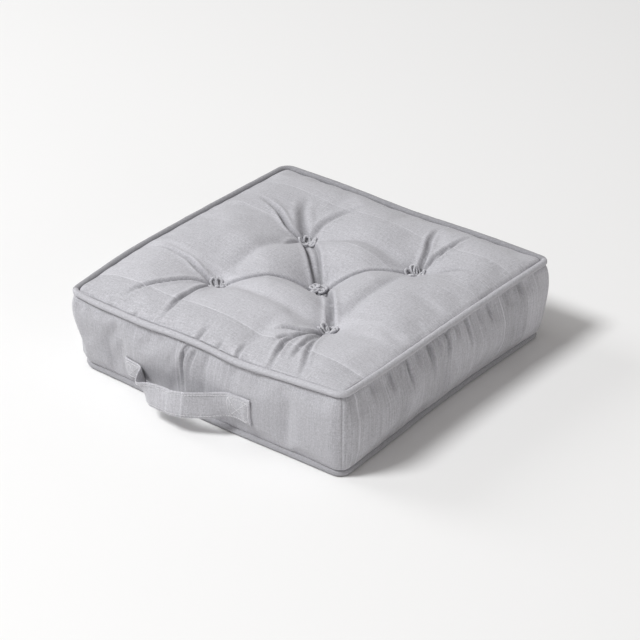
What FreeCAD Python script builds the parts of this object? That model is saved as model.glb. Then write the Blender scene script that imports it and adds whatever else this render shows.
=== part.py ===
import FreeCAD, Part

# A square tufted floor cushion with piped edges and a carrying handle sewn to its front panel.
#
# Millimetres, +Z up. The origin is the middle of the base, on the floor. X runs along the front
# panel, which carries the handle and faces -Y.
#
# Four inner words are used throughout:
#   side profile   a section drawn in (out, z), out being the distance outwards from the vertical
#                  plane of one side's piping centre line
#   ring           a side profile carried once round the cushion, with round corners
#   seam flange    the raw edges that every seam turns inwards
#   tuft           a yarn pulled through the whole cushion, tied in a bow on top and a knot below

import math
import os

from FreeCAD import Vector

# ---- driving dimensions ----------------------------------------------------------------------
WIDTH = 400.0  # between the piping centre lines of opposite sides
PIPING_RISE = 101.0  # between the base and the top piping centre lines
PIPING_DIAMETER = 8.0
CORNER_RADIUS = 14.0  # of the piping centre line, seen from above
CLOTH = 1.0  # thickness of the cover fabric
SEAM_ALLOWANCE = 10.0
BULGE = 9.5  # how far a side panel stands out beyond the piping centre line
CROWN = 13.0  # how far the top panel swells above its own edge
TUFT_SINK = 15.0  # how far a tuft lies below the top piping centre line
TUFT_REACH = 27.0  # radius at which a tuft's dimple has mostly risen again
BASE_EDGE_WIDTH = 8.0  # of the base panel's edge, which rises from the floor to its seam

# Tuft positions are tied by hand, so they are a little uneven.
TUFTS = {
    "centre": (14.0, -5.0),
    "front": (89.0, -83.0),
    "right": (89.0, 86.0),
    "back": (-61.0, 68.0),
    "left": (-78.0, -81.0),
}

STRAP_WIDTH = 28.0
STRAP_THICKNESS = 3.0
STRAP_HEIGHT = 37.0  # of the handle's centre line above the floor
HANDLE_ENDS = {"left": (-119.0, -90.0), "right": (40.0, 69.0)}  # x range of each sewn end
LOOP_SPAN = (-70.0, 8.0)  # x range of the part that stands free of the panel
PATCH_THICKNESS = 2.0

YARN_RADIUS = 1.15
BOW_LOOPS = 6
BOW_LOOP_RADIUS = 3.2
BOW_SPREAD = 6.4  # distance of a loop's middle from the tuft's middle
BOW_CORE_RADIUS = 3.4  # of the knot that the loops stand round
BOW_CORE_HEIGHT = 5.0
KNOT_RADIUS = 3.4
KNOT_Z = 3.9
KNOT_TAIL = 7.0  # length of a yarn tail, from the knot's middle
RECESS_RADIUS = 17.0  # of the dimple that each tuft pulls in the base, at the floor
RECESS_TOP_RADIUS = 6.0
RECESS_DEPTH = 8.5

THREAD = 0.8  # width of a stitched line
THREAD_HEIGHT = 0.5
STITCH_MARGIN = 3.5  # from the edge of a sewn end to its stitching

# ---- worked out from them --------------------------------------------------------------------
HALF = WIDTH / 2
PIPING_RADIUS = PIPING_DIAMETER / 2
BASE_Z = PIPING_RADIUS
TOP_Z = BASE_Z + PIPING_RISE
MIDDLE_Z = (BASE_Z + TOP_Z) / 2
CORE = HALF - CORNER_RADIUS

GAP = 0.15  # between layers sewn together
LOOSE = 0.3  # between the cover and what it holds
TOUCH = 0.05  # between a thread or yarn and the surface it lies on
OVERSIZE = 30.0  # how far a cutting tool reaches past what it cuts
FLANGE_HALF = CLOTH  # a piping flange is two layers of cloth
PANEL_EDGE = PIPING_RADIUS + 0.5  # distance inwards at which a panel leaves its seam

# A side panel's outer surface is an arc from seam to seam.
SIDE_END_Z = TOP_Z - FLANGE_HALF - GAP
SIDE_HALF_HEIGHT = SIDE_END_Z - MIDDLE_Z
SIDE_SAGITTA = BULGE + PANEL_EDGE
SIDE_RADIUS = (SIDE_HALF_HEIGHT**2 + SIDE_SAGITTA**2) / (2 * SIDE_SAGITTA)
SIDE_CENTRE_OUT = BULGE - SIDE_RADIUS


def side_out(z, lift=0.0):
    """How far out the side panel's outer surface stands at height z, raised by lift."""
    return SIDE_CENTRE_OUT + math.sqrt((SIDE_RADIUS + lift) ** 2 - (z - MIDDLE_Z) ** 2)


# ---- sections and rings ----------------------------------------------------------------------
def at(out, z, x=0.0):
    """A point of a side profile, placed on the front side."""
    return Vector(x, -(HALF + out), z)


def line(a, b):
    return Part.LineSegment(at(*a), at(*b)).toShape()


def arc(a, through, b):
    return Part.Arc(at(*a), at(*through), at(*b)).toShape()


def polygon(*corners):
    """Straight edges from each corner to the next."""
    return [line(a, b) for a, b in zip(corners, corners[1:])]


def face_of(edges):
    return Part.Face(Part.Wire(edges))


def disc(z, radius):
    """A round section centred on a piping centre line."""
    return face_of([Part.Circle(at(0, z), Vector(1, 0, 0), radius).toShape()])


def corner_turn(face, side, degrees):
    """A side profile turned about the vertical axis of the corner at its -X or +X end."""
    placed = face.translated(Vector(side * CORE, 0, 0))
    return placed.revolve(Vector(side * CORE, -CORE, 0), Vector(0, 0, side), degrees)


def straight_run(face):
    return face.translated(Vector(-CORE, 0, 0)).extrude(Vector(2 * CORE, 0, 0))


def fused(solids):
    first, *rest = solids
    return first.multiFuse(rest).removeSplitter() if rest else first


def ring(face, filled=False):
    """A side profile carried round all four sides, with the middle filled in if asked."""
    quarter = [straight_run(face), corner_turn(face, 1, 90)]
    solids = []
    for turn in range(4):
        for solid in quarter:
            solids.append(solid.rotated(Vector(0, 0, 0), Vector(0, 0, 1), 90 * turn))
    if filled:
        low = face.BoundBox.ZMin
        high = face.BoundBox.ZMax
        solids.append(Part.makeBox(2 * CORE, 2 * CORE, high - low, Vector(-CORE, -CORE, low)))
    return fused(solids)


def rounded_square(inset, z):
    """The outline of a square with round corners, inset from the piping centre line."""
    half = HALF - inset
    radius = CORNER_RADIUS - inset
    edges = []
    for turn in range(4):
        start = Vector(-CORE, -half, z)
        end = Vector(CORE, -half, z)
        slant = radius * math.sqrt(0.5)
        middle = Vector(CORE + slant, -CORE - slant, z)
        last = Vector(half, -CORE, z)
        for edge in (Part.LineSegment(start, end).toShape(), Part.Arc(end, middle, last).toShape()):
            edges.append(edge.rotated(Vector(0, 0, 0), Vector(0, 0, 1), 90 * turn))
    return Part.Wire(edges)


def prism(inset, z, height):
    return Part.Face(rounded_square(inset, z)).extrude(Vector(0, 0, height))


# ---- cover panels ----------------------------------------------------------------------------
def crown_height(x, y):
    """Height of the top panel's outer surface: a low pillow with a dimple at each tuft."""
    reach = HALF - PANEL_EDGE
    swell = max(0.0, 1 - (x / reach) ** 4) * max(0.0, 1 - (y / reach) ** 4)
    height = TOP_Z + FLANGE_HALF + GAP + CLOTH + CROWN * swell
    deepest = height - (TOP_Z - TUFT_SINK)
    nearest = min(math.hypot(x - tx, y - ty) for tx, ty in TUFTS.values())
    return height - deepest * math.exp(-((nearest / TUFT_REACH) ** 3))


def crown_face(drop):
    """The top panel's outer surface lowered by drop, somewhat larger than the cushion."""
    steps = 44
    reach = HALF + 6
    grid = []
    for i in range(steps + 1):
        x = -reach + 2 * reach * i / steps
        row = []
        for j in range(steps + 1):
            y = -reach + 2 * reach * j / steps
            row.append(Vector(x, y, crown_height(x, y) - drop))
        grid.append(row)
    surface = Part.BSplineSurface()
    surface.interpolate(grid)
    return surface.toShape()


def tie_hole(x, y, low, high):
    return Part.makeCylinder(YARN_RADIUS + LOOSE, high - low, Vector(x, y, low))


def make_top_panel():
    sheet = crown_face(0).extrude(Vector(0, 0, -CLOTH))
    low = TOP_Z - TUFT_SINK - OVERSIZE
    high = TOP_Z + CROWN + OVERSIZE
    panel = sheet.common(prism(PANEL_EDGE, low, high - low))
    for x, y in TUFTS.values():
        panel = panel.cut(tie_hole(x, y, low, high))
    return panel


def make_side_panel(turn):
    """An arched panel from seam to seam, its raw edges turned inwards over both flanges."""
    high = TOP_Z - FLANGE_HALF - GAP
    low = BASE_Z + FLANGE_HALF + GAP
    edge_out = -PANEL_EDGE
    inner = edge_out - CLOTH / 2
    outside = [
        line((-SEAM_ALLOWANCE, high), (edge_out, high)),
        arc((edge_out, high), (BULGE, MIDDLE_Z), (edge_out, low)),
        line((edge_out, low), (-SEAM_ALLOWANCE, low)),
    ]
    inside = [
        line((-SEAM_ALLOWANCE, low), (-SEAM_ALLOWANCE, low + CLOTH)),
        line((-SEAM_ALLOWANCE, low + CLOTH), (inner, low + CLOTH)),
        arc((inner, low + CLOTH), (BULGE - CLOTH, MIDDLE_Z), (inner, high - CLOTH)),
        line((inner, high - CLOTH), (-SEAM_ALLOWANCE, high - CLOTH)),
        line((-SEAM_ALLOWANCE, high - CLOTH), (-SEAM_ALLOWANCE, high)),
    ]
    section = face_of(outside + inside)
    corner_gap = math.degrees(GAP / 2 / CORNER_RADIUS)
    half_corner = 45 - corner_gap
    solids = [straight_run(section)]
    for side in (-1, 1):
        solids.append(corner_turn(section, side, half_corner))
    return fused(solids).rotated(Vector(0, 0, 0), Vector(0, 0, 1), 90 * turn)


def base_recess(x, y, grow):
    """The hollow that a tuft pulls up into the base, grown upwards and outwards by grow."""
    low = Vector(x, y, 0)
    return Part.makeCone(RECESS_RADIUS + grow, RECESS_TOP_RADIUS + grow, RECESS_DEPTH + grow, low)


def make_base_panel():
    """Flat on the floor, with an edge that rises to the seam and a dimple under each tuft."""
    edge_z = BASE_Z - FLANGE_HALF - GAP - CLOTH
    wires = [rounded_square(BASE_EDGE_WIDTH, 0), rounded_square(PANEL_EDGE, edge_z)]
    dish = Part.makeLoft(wires, True, True)
    panel = dish.cut(dish.translated(Vector(0, 0, CLOTH)))
    for x, y in TUFTS.values():
        panel = panel.fuse(base_recess(x, y, CLOTH))
    for x, y in TUFTS.values():
        panel = panel.cut(base_recess(x, y, 0))
        panel = panel.cut(tie_hole(x, y, 0, RECESS_DEPTH + OVERSIZE))
    return panel.removeSplitter()


# ---- piping ----------------------------------------------------------------------------------
def make_piping_cover(z):
    """A strip of cloth wrapped round the cord, its two raw edges together as a flange."""
    join = math.sqrt(PIPING_RADIUS**2 - FLANGE_HALF**2)
    over = z + FLANGE_HALF
    under = z - FLANGE_HALF
    outline = [
        arc((-join, over), (PIPING_RADIUS, z), (-join, under)),
        line((-join, under), (-SEAM_ALLOWANCE, under)),
        line((-SEAM_ALLOWANCE, under), (-SEAM_ALLOWANCE, over)),
        line((-SEAM_ALLOWANCE, over), (-join, over)),
    ]
    section = face_of(outline).cut(disc(z, PIPING_RADIUS - CLOTH))
    return ring(section.Faces[0])


def make_piping_cord(z):
    return ring(disc(z, PIPING_RADIUS - CLOTH - GAP))


# ---- filling ---------------------------------------------------------------------------------
def make_filling():
    """The stuffing: it fills the cover up to the panels, and the ties run through it."""
    under_top_flange = TOP_Z - FLANGE_HALF - GAP - CLOTH - LOOSE
    over_base_flange = BASE_Z + FLANGE_HALF + GAP + CLOTH + LOOSE
    flange_end = -SEAM_ALLOWANCE - LOOSE
    arc_end = side_out(under_top_flange, -CLOTH - LOOSE)
    widest = BULGE - CLOTH - LOOSE
    floor_gap = CLOTH + LOOSE
    above = TOP_Z + OVERSIZE
    start = (-CORNER_RADIUS, floor_gap)
    low_arc_end = (arc_end, over_base_flange)
    high_arc_end = (arc_end, under_top_flange)
    section = face_of(
        polygon(start, (flange_end, floor_gap), (flange_end, over_base_flange), low_arc_end)
        + [arc(low_arc_end, (widest, MIDDLE_Z), high_arc_end)]
        + polygon(high_arc_end, (flange_end, under_top_flange), (flange_end, above))
        + polygon((flange_end, above), (-CORNER_RADIUS, above), start)
    )
    block = ring(section, filled=True)
    under_panel = crown_face(CLOTH + LOOSE).extrude(Vector(0, 0, -above))
    filling = block.common(under_panel)
    for x, y in TUFTS.values():
        filling = filling.cut(base_recess(x, y, CLOTH + LOOSE))
        filling = filling.cut(tie_hole(x, y, 0, above))
    return filling


# ---- tufts -----------------------------------------------------------------------------------
BOW_FLOOR = TOP_Z - TUFT_SINK + CLOTH - 2 * TOUCH  # where a bow rests, just clear of the dimple


def make_tuft_tie(x, y):
    """The yarn inside the cushion, from the knot under the base panel to the bow."""
    low = KNOT_Z + KNOT_RADIUS + TOUCH
    high = BOW_FLOOR - 2 * TOUCH
    return Part.makeCylinder(YARN_RADIUS, high - low, Vector(x, y, low))


def make_tuft_bow(x, y, turn):
    """Small yarn loops standing round a knot, in the dimple of the top panel."""
    solids = [Part.makeCylinder(BOW_CORE_RADIUS, BOW_CORE_HEIGHT, Vector(x, y, BOW_FLOOR))]
    lift = BOW_LOOP_RADIUS + YARN_RADIUS + 3 * LOOSE
    for i in range(BOW_LOOPS):
        angle = turn + 2 * math.pi * i / BOW_LOOPS
        outwards = Vector(math.cos(angle), math.sin(angle), 0)
        along = Vector(-math.sin(angle), math.cos(angle), 0)
        centre = Vector(x, y, BOW_FLOOR + lift) + outwards * BOW_SPREAD
        solids.append(Part.makeTorus(BOW_LOOP_RADIUS, YARN_RADIUS, centre, along))
    return fused(solids)


def make_tuft_knot(x, y, turn):
    """The knot that stops the yarn in the recess of the base panel, with two short tails."""
    middle = Vector(x, y, KNOT_Z)
    angle_between = 2.6
    droop = -0.12
    solids = [Part.makeSphere(KNOT_RADIUS, middle)]
    for angle in (turn, turn + angle_between):
        outwards = Vector(math.cos(angle), math.sin(angle), droop)
        solids.append(Part.makeCylinder(YARN_RADIUS, KNOT_TAIL, middle, outwards))
    return fused(solids)


# ---- handle ----------------------------------------------------------------------------------
STRAP_LOW = STRAP_HEIGHT - STRAP_WIDTH / 2
STRAP_HIGH = STRAP_HEIGHT + STRAP_WIDTH / 2


def curved_plate(start, end, low, high, lift, thickness):
    """A plate that follows the side panel's arc, lifted off it, between two x and z limits."""
    middle = (low + high) / 2
    top = lift + thickness
    inside = [(side_out(z, lift), z) for z in (low, middle, high)]
    outside = [(side_out(z, top), z) for z in (high, middle, low)]
    edges = [arc(*inside), line(inside[-1], outside[0]), arc(*outside), line(outside[-1], inside[0])]
    plate = face_of(edges).translated(Vector(start, 0, 0))
    return plate.extrude(Vector(end - start, 0, 0))


def make_handle_end(span):
    """The folded end of the strap, lying flat on the front panel."""
    return curved_plate(*span, STRAP_LOW, STRAP_HIGH, LOOSE, PATCH_THICKNESS)


def make_handle_stitching(span):
    """A square with both diagonals, sewn through the strap's end."""
    start, end = span
    centre = Vector((start + end) / 2, 0, STRAP_HEIGHT)
    half_x = (end - start) / 2 - STITCH_MARGIN
    half_z = STRAP_WIDTH / 2 - STITCH_MARGIN
    diagonal = math.hypot(half_x, half_z)
    tilt = math.degrees(math.atan2(half_z, half_x))
    # each run: distance of its middle from the centre in x and z, half length, tilt
    runs = [
        (0, half_z, half_x, 0),
        (0, -half_z, half_x, 0),
        (half_x, 0, half_z, 90),
        (-half_x, 0, half_z, 90),
        (0, 0, diagonal, tilt),
        (0, 0, diagonal, -tilt),
    ]
    bars = []
    for x, z, half_length, angle in runs:
        length = 2 * half_length + THREAD
        corner = Vector(-length / 2, -HALF - OVERSIZE, -THREAD / 2)
        bar = Part.makeBox(length, 2 * OVERSIZE, THREAD, corner)
        bar.rotate(Vector(0, 0, 0), Vector(0, 1, 0), -angle)
        bars.append(bar.translated(centre + Vector(x, 0, z)))
    lift = LOOSE + PATCH_THICKNESS + TOUCH
    skin = curved_plate(start, end, STRAP_LOW, STRAP_HIGH, lift, THREAD_HEIGHT)
    return fused(bars).common(skin)


def make_strap():
    """The whole free strap, from one sewn end to the other, bowed out from the panel."""
    start = HANDLE_ENDS["left"][1]
    end = HANDLE_ENDS["right"][0]
    plan = [
        (start, 8.0),
        (start + 11, 21.0),
        (start + 28, 33.0),
        (start + 55, 38.5),
        (start + 82, 35.5),
        (start + 108, 23.0),
        (end, 8.0),
    ]
    curve = Part.BSplineCurve()
    curve.interpolate([at(out, STRAP_LOW, x) for x, out in plan])
    band = curve.toShape().extrude(Vector(0, 0, STRAP_WIDTH))
    tolerance = 0.01
    strap = band.makeOffsetShape(STRAP_THICKNESS / 2, tolerance, fill=False)
    strap = strap.makeOffsetShape(-STRAP_THICKNESS, tolerance, fill=True)
    low = STRAP_LOW - STRAP_THICKNESS
    high = STRAP_HIGH + STRAP_THICKNESS
    panel = curved_plate(start - OVERSIZE, end + OVERSIZE, low, high, -OVERSIZE, OVERSIZE + LOOSE)
    return strap.cut(panel)


def strap_piece(strap, low_x, high_x):
    """The stretch of the strap between two x values."""
    corner = Vector(low_x, -HALF - 2 * OVERSIZE, STRAP_LOW - OVERSIZE)
    box = Part.makeBox(high_x - low_x, 2 * OVERSIZE, STRAP_WIDTH + 2 * OVERSIZE, corner)
    return strap.common(box)


def make_handle_parts():
    strap = make_strap()
    left, right = HANDLE_ENDS["left"][1], HANDLE_ENDS["right"][0]
    loop_low, loop_high = LOOP_SPAN
    return {
        "handle_loop": strap_piece(strap, loop_low + GAP, loop_high - GAP),
        "handle_leg_left": strap_piece(strap, left + GAP, loop_low - GAP),
        "handle_leg_right": strap_piece(strap, loop_high + GAP, right - GAP),
    }


# ---- the whole cushion -----------------------------------------------------------------------
def make_parts():
    parts = {
        "top_panel": make_top_panel(),
        "base_panel": make_base_panel(),
        "filling": make_filling(),
        "top_piping_cover": make_piping_cover(TOP_Z),
        "top_piping_cord": make_piping_cord(TOP_Z),
        "base_piping_cover": make_piping_cover(BASE_Z),
        "base_piping_cord": make_piping_cord(BASE_Z),
    }
    for turn, side in enumerate(("front", "right", "back", "left")):
        parts["side_panel_" + side] = make_side_panel(turn)
    for turn, (name, (x, y)) in enumerate(TUFTS.items()):
        parts["tuft_tie_" + name] = make_tuft_tie(x, y)
        parts["tuft_bow_" + name] = make_tuft_bow(x, y, turn)
        parts["tuft_knot_" + name] = make_tuft_knot(x, y, turn)
    for name, span in HANDLE_ENDS.items():
        parts["handle_end_" + name] = make_handle_end(span)
        parts["handle_stitching_" + name] = make_handle_stitching(span)
    parts.update(make_handle_parts())
    return parts


os.makedirs("parts", exist_ok=True)
for name, shape in make_parts().items():
    shape.exportStep("parts/" + name + ".step")
    solids = len(shape.Solids)
    print(f"{name:24s} {solids} solid(s)  valid {shape.isValid()}  volume {shape.Volume:12.1f}")
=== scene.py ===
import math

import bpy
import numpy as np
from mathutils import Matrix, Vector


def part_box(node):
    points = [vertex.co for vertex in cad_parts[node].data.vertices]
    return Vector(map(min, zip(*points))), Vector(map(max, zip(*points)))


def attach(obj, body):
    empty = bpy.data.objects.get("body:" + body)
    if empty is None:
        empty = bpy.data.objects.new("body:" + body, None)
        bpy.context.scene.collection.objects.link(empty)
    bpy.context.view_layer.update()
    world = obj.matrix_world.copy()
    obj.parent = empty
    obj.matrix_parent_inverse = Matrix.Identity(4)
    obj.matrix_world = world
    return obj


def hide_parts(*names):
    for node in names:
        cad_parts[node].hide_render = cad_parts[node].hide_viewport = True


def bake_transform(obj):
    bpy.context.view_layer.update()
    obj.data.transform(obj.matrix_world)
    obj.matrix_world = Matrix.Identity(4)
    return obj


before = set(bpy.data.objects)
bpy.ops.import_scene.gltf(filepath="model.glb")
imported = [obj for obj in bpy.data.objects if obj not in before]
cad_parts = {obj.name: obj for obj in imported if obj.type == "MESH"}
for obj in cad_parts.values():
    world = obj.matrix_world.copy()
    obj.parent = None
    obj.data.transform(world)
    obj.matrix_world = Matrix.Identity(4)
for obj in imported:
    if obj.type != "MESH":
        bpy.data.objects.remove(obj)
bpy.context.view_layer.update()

# The looks of a tufted floor cushion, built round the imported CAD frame. Lengths are in metres.
#
# The front side faces -Y and carries the handle. Sides are numbered 0 front, 1 right, 2 back and
# 3 left, and run anticlockwise seen from above. A grid is an array of points whose rows and columns
# follow the weave.

MM = 0.001

# ---- sizes taken from the frame ----
piping_low, piping_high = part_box("top_piping_cover")
PIPING = (piping_high.z - piping_low.z) / 2
HALF = piping_high.x - PIPING
TOP_Z = piping_low.z + PIPING
BASE_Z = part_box("base_piping_cover")[0].z + PIPING
FLOOR_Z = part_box("base_panel")[0].z
SEAM_IN = 3.0 * MM  # a panel leaves its seam this far inside the piping's centre
SEAM_OFF = 2.9 * MM  # and this far above or below it

TUFT_NAMES = ("centre", "front", "right", "back", "left")
TUFTS = {name: sum(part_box("tuft_tie_" + name), Vector()) / 2 for name in TUFT_NAMES}
SPOTS = {name: np.array(place[:2]) for name, place in TUFTS.items()}
TUFT_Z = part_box("tuft_tie_centre")[1].z - 2.5 * MM  # stuffed, the dimples are deeper than the CAD's

SIDES = ("front", "right", "back", "left")
# Values at the corners where the sides start: the left, front, right and back ones in the photo.
CORNER_RADII = np.array([8, 12, 8, 13]) * MM
CORNER_BULGES = np.array([8, 7, 9, 6]) * MM
CORNER_TUCKS = np.array([6, 2, 6, 4]) * MM  # how far the base piping lies inside the top piping
BASE_ROUNDINGS = np.array([16, 2, 8, 8]) * MM  # how much rounder the base's corners are


# ---- small numeric helpers ----
def smooth(t):
    t = np.clip(t, 0, 1)
    return t * t * (3 - 2 * t)


def smooth_through(points, x):
    """A smooth curve through (x, value) points."""
    xs, ys = np.array(points, float).T
    slopes = np.gradient(ys, xs)
    i = np.clip(np.searchsorted(xs, x) - 1, 0, len(xs) - 2)
    h = xs[i + 1] - xs[i]
    t = np.clip((x - xs[i]) / h, 0, 1)
    a = (1 + 2 * t) * (1 - t) ** 2 * ys[i] + t * (1 - t) ** 2 * h * slopes[i]
    b = t * t * (3 - 2 * t) * ys[i + 1] + t * t * (t - 1) * h * slopes[i + 1]
    return a + b


def curve_through(points, count):
    """Points on a smooth curve through a few others."""
    points = np.array(points, float)
    steps = np.linspace(0, len(points) - 1, count)
    knots = np.arange(len(points))
    return np.stack([smooth_through(np.c_[knots, column], steps) for column in points.T], -1)


def refine_rows(grid, factor):
    """Cubic interpolation between the rows of a grid."""
    rows = len(grid)
    padded = np.concatenate([2 * grid[:1] - grid[1:2], grid, 2 * grid[-1:] - grid[-2:-1]])
    steps = np.linspace(0, rows - 1, (rows - 1) * factor + 1)
    i = np.minimum(steps.astype(int), rows - 2)
    t = (steps - i).reshape(-1, *([1] * (grid.ndim - 1)))
    p0, p1, p2, p3 = (padded[i + k] for k in range(4))
    bend = 2 * p0 - 5 * p1 + 4 * p2 - p3
    return 0.5 * (2 * p1 + (p2 - p0) * t + bend * t**2 + (3 * p1 - p0 - 3 * p2 + p3) * t**3)


def refine(grid, factor):
    """A grid with cubic rows and columns added between its own."""
    finer = refine_rows(grid, factor)
    return refine_rows(finer.swapaxes(0, 1), factor).swapaxes(0, 1)


def run_along(path):
    """How far along a path each of its points lies."""
    return np.concatenate([[0], np.cumsum(np.linalg.norm(np.diff(path, axis=0), axis=1))])


def unit(vectors):
    return vectors / np.maximum(np.linalg.norm(vectors, axis=-1, keepdims=True), 1e-12)


def grid_normals(grid):
    return unit(np.cross(np.gradient(grid, axis=0), np.gradient(grid, axis=1)))


def soft_noise(grid, scale, seed):
    """Smooth bumps, mostly between -1 and 1, from waves in random directions."""
    rng = np.random.default_rng(seed)
    total = np.zeros(grid.shape[:-1])
    waves = 24
    for _ in range(waves):
        direction = unit(rng.normal(size=3))
        frequency = 2 * math.pi / scale * rng.uniform(0.6, 1.5)
        total += np.sin(grid @ direction * frequency + rng.uniform(0, 2 * math.pi))
    return total / math.sqrt(waves)


# ---- the rim: where the top piping really runs ----
# The rim of a stuffed cover isn't straight. Points are (distance along the side, lift), in mm.
RIM_LIFTS = [
    [
        (-200, -4), (-180, -6.5), (-130, -7.5), (-84, -7), (-40, -4),
        (0, -3.5), (50, -6.5), (110, -3), (165, 1.5), (200, 4),
    ],
    [(-200, 4), (-120, 1), (0, 0), (120, 0), (200, -1)],
    [(-200, -1), (-100, 0), (0, -2), (100, 0), (200, -1)],
    [(-200, -1), (-110, 1), (0, 2.5), (110, 3), (200, -4)],
]
# How far each side's middle stands out at the top and at the base, in mm.
RIM_BOWS = [2.5, -2.5, -1.5, 1.5]
BASE_BOWS = [4, -4, 0, 0]


def turned(points, side):
    """Points of the front side carried round to another side."""
    angle = side * math.pi / 2
    c, s = math.cos(angle), math.sin(angle)
    x, y, z = np.moveaxis(points, -1, 0)
    return np.stack([c * x - s * y, s * x + c * y, z], -1)


def between_corners(values, side, t):
    """A value that goes smoothly from one corner's to the next one's."""
    share = smooth((t + 1) / 2)
    return values[side] * (1 - share) + values[(side + 1) % 4] * share


def along_side(side, t, out, rounding=0.0):
    """Flat points along a side, drawn as the front one, some distance out from the piping line.

    t runs from -1 to 1 between the corners' middles. rounding, from 0 to 1, goes from the top's
    corners to the base's rounder ones."""
    t, out, rounding = np.broadcast_arrays(t, out, rounding)
    radii = CORNER_RADII + BASE_ROUNDINGS * rounding[..., None]
    radius = np.where(t < 0, radii[..., side], radii[..., (side + 1) % 4])
    core = HALF - radius
    s = np.abs(t) * (core + radius * math.pi / 4)
    angle = np.maximum(s - core, 0) / radius
    x = np.minimum(s, core) + (radius + out) * np.sin(angle)
    y = -core - (radius + out) * np.cos(angle)
    return np.stack([np.sign(t) * x, y], -1)


def rim_point(side, t, out=0.0, up=0.0, share=1.0):
    """Points near the piping: at the top one for share 1, going to the base one for share 0.

    The top one sags and bows; the base one lies flat and is tucked in. up is from TOP_Z."""
    lift = smooth_through(RIM_LIFTS[side], t * HALF / MM) * MM * share
    bow = RIM_BOWS[side] * share + BASE_BOWS[side] * (1 - share)
    bow = bow * MM * np.cos(t * math.pi / 2) ** 2
    tuck = between_corners(CORNER_TUCKS, side, t) * (1 - share)
    flat = along_side(side, t, out + bow - tuck, 1 - share)
    z = np.broadcast_to(TOP_Z + up + lift, flat.shape[:-1])
    return turned(np.concatenate([flat, z[..., None]], -1), side)


# ---- panels as grids ----
def coons(front, right, back, left):
    """A grid spanned between four edges of as many points each, in anticlockwise order."""
    n = len(front)
    u = np.linspace(0, 1, n).reshape(-1, 1, 1)
    v = u.swapaxes(0, 1)
    low, high = front[:, None], back[::-1][:, None]
    start, end = left[::-1][None], right[None]
    ruled = (1 - v) * low + v * high + (1 - u) * start + u * end
    corners = (1 - u) * (1 - v) * front[0] + u * (1 - v) * front[-1]
    return ruled - corners - u * v * back[0] - (1 - u) * v * back[-1]


def square_grid(n, inset, up, share):
    """A grid across the cushion, its edges following the rim."""
    t = np.linspace(-1, 1, n)
    return coons(*(rim_point(side, t, -inset, up, share) for side in range(4)))


def tuft_distance(grid):
    """Distance of each point to the nearest tuft, seen from above."""
    gaps = [np.linalg.norm(grid[..., :2] - spot, axis=-1) for spot in SPOTS.values()]
    return np.min(gaps, axis=0)


def segment_distance(grid, a, b):
    """Distance of each point to the line between two spots, seen from above."""
    run = b - a
    gap = grid[..., :2] - a
    share = np.clip(gap @ run / (run @ run), 0, 1)
    return np.linalg.norm(gap - share[..., None] * run, axis=-1)


# How far each side of the top panel rises above its usual seam line, in mm. Where it lies low, the
# piping stands up behind it.
EDGE_RISES = [0.3, 0.0, -5.0, -3.2]
CORNER_DIPS = [1.0, 0.0, 1.0, 0.7]  # share of a full dip at the left, front, right and back corners
DIP_SPAN = 0.035  # length of a dip, as a share of half a side
DIP_IN, DIP_DOWN = 2 * MM, 3.5 * MM


def top_edge(side, t):
    """The seam line of the top panel, a little inside and above the piping's centre."""
    after = (side + 1) % 4
    dip = np.where(t < 0, CORNER_DIPS[side], CORNER_DIPS[after])
    dip = dip * np.exp(-(((1 - np.abs(t)) / DIP_SPAN) ** 2))
    own = EDGE_RISES[side]
    at_corner = np.where(t < 0, (EDGE_RISES[side - 1] + own) / 2, (own + EDGE_RISES[after]) / 2)
    rise = own + (at_corner - own) * smooth((np.abs(t) - 0.8) / 0.2)
    return rim_point(side, t, -SEAM_IN - dip * DIP_IN, SEAM_OFF + rise * MM - dip * DIP_DOWN)


SWELL = 14 * MM  # how far the top panel rises inside its edge before stuffing
NET_DEPTH, NET_WIDTH = 13 * MM, 17 * MM  # of the hollows from the centre tuft to the others
PULL_REACH = 22 * MM  # of the cone that each tuft pulls down


def start_top(n):
    """The top panel before stuffing: low, with a cone pulled down to each tuft."""
    t = np.linspace(-1, 1, n)
    grid = coons(*(top_edge(side, t) for side in range(4)))
    swell = 1 - np.abs(t) ** 5
    grid[..., 2] += SWELL * swell[:, None] * swell[None, :]
    for name in TUFT_NAMES[1:]:
        distance = segment_distance(grid, SPOTS["centre"], SPOTS[name])
        grid[..., 2] -= NET_DEPTH * np.exp(-((distance / NET_WIDTH) ** 1.3))
    pull = np.exp(-((tuft_distance(grid) / PULL_REACH) ** 0.9))
    grid[..., 2] += (TUFT_Z - grid[..., 2]) * pull
    return grid


BULGES = np.array([5, 8, 6, 5.5]) * MM  # of each side panel beyond the rim, before stuffing


def start_side(side, n, rows):
    """A side panel, its rows running up from the base seam to the top seam."""
    t = np.linspace(-1, 1, n)[:, None]
    h = np.linspace(0, 1, rows)[None, :]
    arch = (1 - np.abs(2 * h**0.8 - 1) ** 2.6) ** 0.45  # widest a little below the middle
    at_corner = between_corners(CORNER_BULGES, side, t)
    bulge = at_corner + (BULGES[side] - at_corner) * smooth((1 - np.abs(t)) / 0.4)
    out = -SEAM_IN + (bulge + SEAM_IN) * arch
    grid = rim_point(side, t, out, 0.0, smooth(h))
    high = grid[..., 2] - SEAM_OFF
    low = BASE_Z + SEAM_OFF
    grid[..., 2] = low + (high - low) * h
    return grid


# ---- cloth simulation ----
def mesh_object(name, points, faces, material=None):
    mesh = bpy.data.meshes.new(name)
    mesh.from_pydata(np.asarray(points, float).reshape(-1, 3).tolist(), [], faces)
    mesh.validate()
    mesh.shade_smooth()
    thing = bpy.data.objects.new(name, mesh)
    bpy.context.scene.collection.objects.link(thing)
    if material:
        mesh.materials.append(material)
    return thing


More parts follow.
